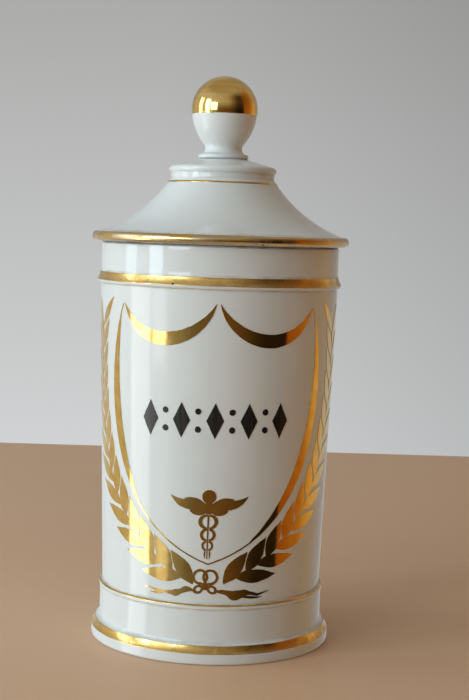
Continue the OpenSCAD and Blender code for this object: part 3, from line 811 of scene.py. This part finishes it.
def lines(tree, height, ranges, place):
    """Mask of several lines round the jar, by their lowest and highest points in millimetres"""
    mask = None
    across, up = place
    for low, high in ranges:
        line = band(tree, height, low * mm, high * mm, line_soft, (across, up))
        mask = line if mask is None else maths(tree, "MAXIMUM", mask, line, (across + 400, up))
        up -= 550
    return mask


def glazed_porcelain(name, creases, seats, bare):
    """Glazed body: creases hold dirt and painted shade, seats grime and a painted shadow; the body lies bare
    between two heights
    """
    material, tree, shader, place = new_material(name)
    height = apart(tree, place)["Z"]
    depth = cloud(tree, place, (-1000, 300), Scale=22.0, Detail=3.0)
    depth = spread(tree, depth, 0.3, 0.7, 0.0, 1.0, (-800, 300))
    colour = mix(tree, depth, glaze_clear, glaze_thick, (-600, 300))
    iron = use(tree, specks, place, (-1000, 0), Scale=160.0, Size=0.12, Share=0.016)
    colour = mix(tree, iron, colour, glaze_iron, (-400, 300))
    patchy = cloud(tree, place, (-1000, -200), Scale=90.0, Detail=4.0)
    patchy = spread(tree, patchy, 0.42, 0.72, 0.05, 0.5, (-800, -200))
    # Dirt and painted shade along the creases
    dirt_and_shade = maths(tree, "MULTIPLY", lines(tree, height, creases, (-1000, -500)), patchy, (-400, -400))
    colour = mix(tree, dirt_and_shade, colour, crease_dirt_and_shade, (-200, 300))
    # Grime and a painted shadow along the seats, where the lid and the knob rest
    grime_and_shade = maths(tree, "ADD", patchy, 0.3, (-600, -250), clamp=True)
    grime_and_shade = maths(tree, "MULTIPLY", lines(tree, height, seats, (-1600, -500)), grime_and_shade, (-400, -250))
    colour = mix(tree, grime_and_shade, colour, seat_grime_and_shade, (-100, 500))
    biscuit = band(tree, height, bare[0] * mm, bare[1] * mm, bare_soft, (-1000, 900))
    colour = mix(tree, biscuit, colour, bare_body, (0, 300))
    tree.links.new(colour, shader.inputs["Base Color"])
    gloss = spread(tree, depth, 0.0, 1.0, 0.04, 0.07, (-600, 0))
    gloss = maths(tree, "ADD", gloss, maths(tree, "MULTIPLY", dirt_and_shade, 0.3, (-200, -200)), (0, 0))
    dull = maths(tree, "MULTIPLY", biscuit, 0.5, (-200, -50))
    gloss = maths(tree, "ADD", gloss, dull, (200, 0), clamp=True)
    tree.links.new(gloss, shader.inputs["Roughness"])
    wave = cloud(tree, place, (0, -300), Scale=55.0, Detail=1.0)
    peel = cloud(tree, place, (0, -600), Scale=700.0, Detail=1.0)
    normal = bump(tree, wave, 0.10 * mm, (300, -300))
    normal = bump(tree, peel, 0.004 * mm, (500, -400), normal)
    tree.links.new(normal, shader.inputs["Normal"])
    return material


def burnished_gold(name, along, across, tarnish, rubbed, worn, dull, polish, wavy):
    """Fired gilding: brushed on in streaks, burnished, rubbed to a worn colour and freckled with tarnish"""
    material, tree, shader, place = new_material(name)
    streak = use(tree, streaks, place, (-1000, 300), Along=along, Across=across)
    colour = mix(tree, streak, gold_deep, gold_pale, (-700, 300))
    thin = use(tree, rubs, place, (-1000, 0), Scale=130.0, Share=rubbed, Border=0.12)
    bare = maths(tree, "MULTIPLY", thin, 0.3 + 2 * dull, (-700, 0))
    colour = mix(tree, bare, colour, worn, (-500, 300))
    spot = use(tree, specks, place, (-1000, -300), Scale=520.0, Size=0.36, Share=tarnish)
    colour = mix(tree, spot, colour, gold_tarnish, (-300, 300))
    tree.links.new(colour, shader.inputs["Base Color"])
    shader.inputs["Metallic"].default_value = 1.0
    gloss = spread(tree, streak, 0.0, 1.0, polish, polish + 0.05, (-700, -300))
    gloss = maths(tree, "ADD", gloss, maths(tree, "MULTIPLY", thin, dull, (-500, -200)), (-300, -200))
    gloss = maths(tree, "ADD", gloss, maths(tree, "MULTIPLY", spot, 0.3, (-300, -400)), (-100, -200))
    tree.links.new(gloss, shader.inputs["Roughness"])
    wave = cloud(tree, place, (0, -500), Scale=70.0, Detail=2.0)
    normal = bump(tree, wave, wavy * mm, (300, -400))
    normal = bump(tree, streak, 0.004 * mm, (500, -500), normal)
    tree.links.new(normal, shader.inputs["Normal"])
    return material


def brushed_enamel(name):
    """Black enamel: laid on with a broad brush that ran dry in places"""
    material, tree, shader, place = new_material(name)
    streak = use(tree, streaks, place, (-1000, 300), Along=1100.0, Across=90.0)
    colour = mix(tree, streak, enamel_full, enamel_thin, (-700, 300))
    dry = use(tree, rubs, place, (-1000, 0), Scale=300.0, Share=0.34, Border=0.1)
    dry = maths(tree, "MULTIPLY", dry, streak, (-700, 0))
    colour = mix(tree, maths(tree, "MULTIPLY", dry, 0.6, (-500, 0)), colour, enamel_dry, (-300, 300))
    tree.links.new(colour, shader.inputs["Base Color"])
    tree.links.new(spread(tree, streak, 0.0, 1.0, 0.2, 0.34, (-500, -200)), shader.inputs["Roughness"])
    tree.links.new(bump(tree, streak, 0.006 * mm, (300, -400)), shader.inputs["Normal"])
    return material


def dress(piece, material, body, slot, *nodes):
    """Gives a piece its material, and says what it rides on and which nodes it stands for. The slot is not
    used
    """
    piece.data.materials.clear()
    piece.data.materials.append(material)
    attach(piece, body)
    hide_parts(*nodes)
    for node in nodes:
        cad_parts[node].data.materials.clear()
        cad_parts[node].data.materials.append(material)


def place_camera():
    """Camera that looks at the jar from the front, a little from above"""
    data = bpy.data.cameras.new("camera")
    data.lens = camera_lens
    data.sensor_width = camera_sensor
    camera = bpy.data.objects.new("camera", data)
    level = Matrix.Rotation(math.radians(90) - camera_down, 4, "X")
    turn = Matrix.Rotation(-camera_right, 4, "Z") @ level @ Matrix.Rotation(camera_roll, 4, "Z")
    camera.matrix_world = Matrix.Translation(camera_place) @ turn
    bpy.context.collection.objects.link(camera)
    bpy.context.scene.camera = camera


def one_sided(tree, surface):
    """Lets the camera look through a piece of the stage from behind"""
    behind = add(tree, "ShaderNodeNewGeometry", (1100, 500)).outputs["Backfacing"]
    clear = add(tree, "ShaderNodeBsdfTransparent", (1100, -100)).outputs[0]
    sided = add(tree, "ShaderNodeMixShader", (1400, 200), i0=behind, i1=surface, i2=clear)
    tree.links.new(sided.outputs[0], tree.nodes["Material Output"].inputs["Surface"])


def table_material():
    """Pale table top, faintly clouded"""
    material, tree, shader, place = new_material("pale table")
    shade = cloud(tree, place, (-900, 0), Scale=table_grain, Detail=4.0)
    dark = tuple((1 - table_cloud) * c for c in table_colour)
    light = tuple((1 + table_cloud) * c for c in table_colour)
    tree.links.new(mix(tree, shade, dark, light, (-500, 0)), shader.inputs["Base Color"])
    shader.inputs["Roughness"].default_value = 0.55
    one_sided(tree, shader.outputs[0])
    return material


def glow(tree, colour, strength):
    """Makes a stage material shine by itself, instead of its own shader, and gives the shine"""
    shine = add(tree, "ShaderNodeEmission", (900, 300), Color=colour, Strength=strength)
    tree.links.new(shine.outputs[0], tree.nodes["Material Output"].inputs["Surface"])
    return shine.outputs[0]


def wall_material():
    """Pale wall that glows for the camera and what mirrors it with painted light from the left, lighter
    towards the table
    """
    material, tree, shader, place = new_material("pale wall")
    parts = apart(tree, place)
    shader.inputs["Base Color"].default_value = (*wall_colour, 1)
    shader.inputs["Roughness"].default_value = 0.8
    # The camera and gloss see painted light here: a glow lighter towards the table, with a painted shade to
    # the right
    start, end, left = wall_painted_shade
    rise = spread(tree, parts["Z"], *wall_heights, 0.0, 1.0, (-900, 200))
    aside = spread(tree, parts["X"], start, end, 1.0, left, (-900, -100))
    shine = glow(tree, mix(tree, rise, wall_low_painted_light, wall_high_painted_light, (-600, 200)), aside)
    path = add(tree, "ShaderNodeLightPath", (600, 500)).outputs
    either = maths(tree, "MAXIMUM", path["Is Camera Ray"], path["Is Glossy Ray"], (800, 500))
    joined = add(tree, "ShaderNodeMixShader", (1100, 200), i0=either, i1=shader.outputs[0], i2=shine)
    one_sided(tree, joined.outputs[0])
    return material


def around(tree, share, stops, place):
    """Colour by the angle round the jar, between colours at known angles"""
    node = add(tree, "ShaderNodeValToRGB", place, Fac=share)
    for end in (0, 1):
        node.color_ramp.elements[end].color = (*room_back, 1)
    for at, colour in stops:
        node.color_ramp.elements.new((at + 180) / 360).color = (*colour, 1)
    return node.outputs["Color"]


def screen_material():
    """Light that gloss mirrors: a bright side, a dim front and a warm side, by the angle from the front"""
    material, tree, _, place = new_material("room round the table")
    parts = apart(tree, place)
    front = maths(tree, "MULTIPLY", parts["Y"], -1.0, (-1000, 0))
    turn = maths(tree, "ARCTAN2", parts["X"], front, (-800, 0))
    share = spread(tree, turn, -math.pi, math.pi, 0.0, 1.0, (-600, 0))
    shade = around(tree, share, room_walls, (-300, 0))
    upper = around(tree, share, room_upper, (-300, 300))
    rise = spread(tree, parts["Z"], *upper_heights, 0.0, 1.0, (-300, 600))
    shade = mix(tree, rise, shade, upper, (0, 300))
    ceiling = spread(tree, parts["Z"], *ceiling_heights, 0.0, 1.0, (-300, 800))
    shade = mix(tree, ceiling, shade, room_top, (200, 300))
    for start, end, low, high, strength in sills:
        across = band(tree, turn, math.radians(start), math.radians(end), sill_soft[0], (-600, -400))
        up = band(tree, parts["Z"], low, high, sill_soft[1], (-600, -800))
        up = maths(tree, "MULTIPLY", up, strength, (-400, -800))
        lit = maths(tree, "MULTIPLY", across, up, (-200, -400))
        shade = mix(tree, lit, shade, sill_light, (0, -200))
    glow(tree, shade, room_glow)
    return material


def build_stage():
    """Pale table in front of a pale wall, with a screen round them that only light and gloss meet"""
    bpy.ops.object.select_all(action="DESELECT")
    bpy.ops.mesh.primitive_circle_add(vertices=160, radius=table_r, fill_type="NGON")
    table = bpy.context.object
    table.name = "table_top"
    for vertex in table.data.vertices:
        vertex.co.y = min(vertex.co.y, table_back)
        vertex.co.z = -table_drop
    table.data.materials.append(table_material())
    table.visible_glossy = False
    bpy.ops.object.select_all(action="DESELECT")
    bpy.ops.mesh.primitive_plane_add(size=1)
    back = bpy.context.object
    back.name = "back_wall"
    stand = Matrix.Translation(wall_place) @ Matrix.Rotation(math.radians(90), 4, "X")
    back.data.transform(stand @ Matrix.Diagonal((*wall_size, 1, 1)))
    back.data.materials.append(wall_material())
    bpy.ops.object.select_all(action="DESELECT")
    bpy.ops.mesh.primitive_cylinder_add(
        vertices=128, radius=screen_r, depth=screen_tall, end_fill_type="NOTHING")
    screen = bpy.context.object
    screen.name = "room_screen"
    screen.data.transform(Matrix.Translation((0, 0, screen_mid)))
    screen.data.materials.append(screen_material())
    screen.visible_camera = False
    screen.visible_shadow = False


def soft_light(name, turn, up, width, height, power, colour):
    """Area light at an angle round the jar from the front, facing the jar's middle"""
    data = bpy.data.lights.new(name, "AREA")
    data.shape = "RECTANGLE"
    data.size = width
    data.size_y = height
    data.energy = power
    data.color = colour
    lamp = bpy.data.objects.new(name, data)
    way = math.radians(turn)
    place = Vector((lamp_far * math.sin(way), -lamp_far * math.cos(way), up))
    look = (lamp_aim - place).to_track_quat("-Z", "Y")
    lamp.matrix_world = Matrix.Translation(place) @ look.to_matrix().to_4x4()
    lamp.visible_camera = False
    bpy.context.collection.objects.link(lamp)


def light_room():
    """Even pale light from above, two tall windows on the left and a soft lamp between them and the camera"""
    world = bpy.data.worlds.new("room")
    bpy.context.scene.world = world
    world.use_nodes = True
    world.node_tree.nodes["Background"].inputs["Color"].default_value = (*room_top, 1)
    soft_light("window_far", turn=-92, up=0.48, width=0.34, height=0.75, power=2.5, colour=window_light)
    soft_light("window_near", turn=-62, up=0.48, width=0.33, height=0.75, power=4.7, colour=window_light)
    soft_light("front_lamp", turn=-38, up=0.44, width=0.50, height=0.44, power=3.8, colour=front_light)


place_camera()
build_stage()
light_room()

specks = speck_group()
streaks = brush_group()
rubs = rub_group()

jar_glaze = glazed_porcelain(
    "jar glaze", creases=[(8.0, 9.0), (22.4, 22.8), (25.0, 25.5), (157.0, 157.5), (162.6, 163.2)],
    seats=[(174.9, 175.9)], bare=(-1.0, 0.05))
lid_glaze = glazed_porcelain(
    "lid glaze", creases=[(179.6, 180.6), (204.0, 204.4), (206.0, 206.8), (212.6, 213.2)],
    seats=[(175.7, 176.2)], bare=(160.0, 165.2))
knob_glaze = glazed_porcelain(
    "knob glaze", creases=[(214.9, 215.6)], seats=[(212.8, 213.0)], bare=(200.0, 201.0))
band_gold = burnished_gold(
    "gilding on bands", along=26.0, across=900.0, tarnish=0.015, rubbed=0.55, worn=gold_thin, dull=0.20,
    polish=0.17, wavy=0.10)
rim_gold = burnished_gold(
    "gilding on the rim", along=40.0, across=700.0, tarnish=0.07, rubbed=0.60, worn=gold_bare, dull=0.26,
    polish=0.06, wavy=0.08)
knob_gold = burnished_gold(
    "gilding on the knob", along=40.0, across=500.0, tarnish=0.01, rubbed=0.43, worn=gold_thin, dull=0.10,
    polish=0.08, wavy=0.08)
leaf_gold = burnished_gold(
    "gilding on the wall", along=220.0, across=220.0, tarnish=0.0, rubbed=0.40, worn=gold_thin, dull=0.07,
    polish=0.05, wavy=0.08)
black_enamel = brushed_enamel("black enamel")

dress(throw("jar_porcelain", jar_section()), jar_glaze, "jar", "porcelain", "jar_body")
dress(throw("lid_porcelain", lid_section()), lid_glaze, "lid", "porcelain", "lid_shell")
dress(throw("knob_porcelain", knob_section()), knob_glaze, "lid", "porcelain", "lid_knob")

foot_low = (foot_r, foot_edge_z)
foot_band = throw("foot_gilding", strip_section(foot_low, foot_top, slope_dip), film_crease)
by_hand(foot_band, [(foot_low, (-0.49, 0.87)), (foot_top, (0.49, -0.87))], give=0.28, seed=1.0)
dress(foot_band, band_gold, "jar", "gilding", "foot_gilt_band")

bead_out = (bead_r + film_in) * bead_slant
bead_line = []
for half in (bead_line_half * bead_slant, -bead_line_half * bead_slant):
    bead_line.append((bead[0] + bead_out + half, bead[1] + bead_out - half))
base_line = throw("bead_gilding", strip_section(*bead_line), film_crease)
by_hand(base_line, [(bead_line[0], (-0.7, 0.7)), (bead_line[1], (0.7, -0.7))], give=0.12, seed=2.0)
dress(base_line, band_gold, "jar", "gilding", "base_gilt_line")

shoulder_band = throw("shoulder_gilding", strip_section(shoulder, neck_low, slope_dip), film_crease)
by_hand(shoulder_band, [(shoulder, (-0.35, 0.94)), (neck_low, (0.35, -0.94))], give=0.25, seed=3.0)
dress(shoulder_band, band_gold, "jar", "gilding", "shoulder_gilt_band")

rim_band = throw("rim_gilding", edge_section(rim, rim_r, *rim_gilt), film_crease)
dress(rim_band, rim_gold, "lid", "gilding", "lid_rim_gilt_band")

line_ends = []
for height in collar_line_z:
    out = slope_mid[0] - math.sqrt(slope_r ** 2 - (height - slope_mid[1]) ** 2)
    line_ends.append((out, height))
collar_line = throw("collar_gilding", strip_section(*line_ends), film_crease)
by_hand(collar_line, [(line_ends[0], (-0.5, 0.8)), (line_ends[1], (0.5, -0.8))], give=0.1, seed=4.0)
dress(collar_line, band_gold, "lid", "gilding", "collar_gilt_line")

knob_cap = throw("knob_gilding", cap_section(), film_crease)
cap_edge = (cup_mid[0] + cup_r * math.cos(math.asin((cup_mid[1] - knob_gilt_z) / cup_r)), knob_gilt_z)
by_hand(knob_cap, [(cap_edge, (0.1, 0.99))], give=0.22, seed=5.0)
dress(knob_cap, knob_gold, "lid", "gilding", "knob_gilt_cap")

for side, node in ((-1, "wreath_left"), (1, "wreath_right")):
    dress(laurel("painted_" + node, side), leaf_gold, "jar", "gilding", node)
dress(ribbon("painted_ribbon_tails"), leaf_gold, "jar", "gilding", "ribbon_tails")
dress(paint("painted_ribbon_bow", "ribbon_bow", seed=10.0), leaf_gold, "jar", "gilding", "ribbon_bow")
for number, node in enumerate(("shield_sides", "shield_swags")):
    stroke = paint("painted_" + node, node, seed=11.0 + number, upright=shield_upright)
    dress(stroke, leaf_gold, "jar", "gilding", node)
for number, node in enumerate(("caduceus_wings", "caduceus_staff", "caduceus_serpents")):
    stroke = paint("painted_" + node, node, seed=13.0 + number, upright=staff_upright)
    dress(stroke, leaf_gold, "jar", "gilding", node)
frieze = paint("painted_label_frieze", "label_frieze", seed=30.0)
dress(frieze, black_enamel, "jar", "black_enamel", "label_frieze")

bpy.context.scene.view_settings.view_transform = "Standard"
